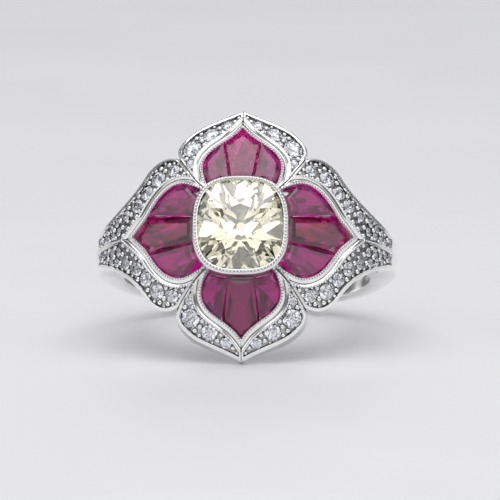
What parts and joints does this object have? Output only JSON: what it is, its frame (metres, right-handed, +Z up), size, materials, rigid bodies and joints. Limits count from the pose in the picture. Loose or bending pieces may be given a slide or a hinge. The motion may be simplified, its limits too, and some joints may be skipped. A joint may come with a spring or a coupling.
{
  "type": "finger ring",
  "caption": "Flower-shaped finger ring with ogee petals of step-cut red stones around a raised cushion-cut clear stone, and small clear stones set along its rims and tapered shoulders.",
  "frame": {"origin": "bottom centre of the bounding box, on the surface that the ring lies on", "axes": "+Z up; the head faces -Y and up by 22.6 degrees; +X is to the right when the head is seen from -Y"},
  "size_m": [0.021, 0.023, 0.0167],
  "materials": {
    "platinum": "polished white metal",
    "centre_diamond": "clear, faintly yellow, faceted",
    "ruby": "deep pinkish red, step cut",
    "small_diamond": "clear, faceted"
  },
  "bodies": {
    "root": {"mount": "platinum", "centre_diamond": "centre_diamond", "ruby_north_left": "ruby", "ruby_north_middle": "ruby", "ruby_north_right": "ruby", "ruby_east_left": "ruby", "ruby_east_middle": "ruby", "ruby_east_right": "ruby", "ruby_south_left": "ruby", "ruby_south_middle": "ruby", "ruby_south_right": "ruby", "ruby_west_left": "ruby", "ruby_west_middle": "ruby", "ruby_west_right": "ruby", "pave_north": "small_diamond", "pave_east": "small_diamond", "pave_south": "small_diamond", "pave_west": "small_diamond"}
  },
  "joints": []
}
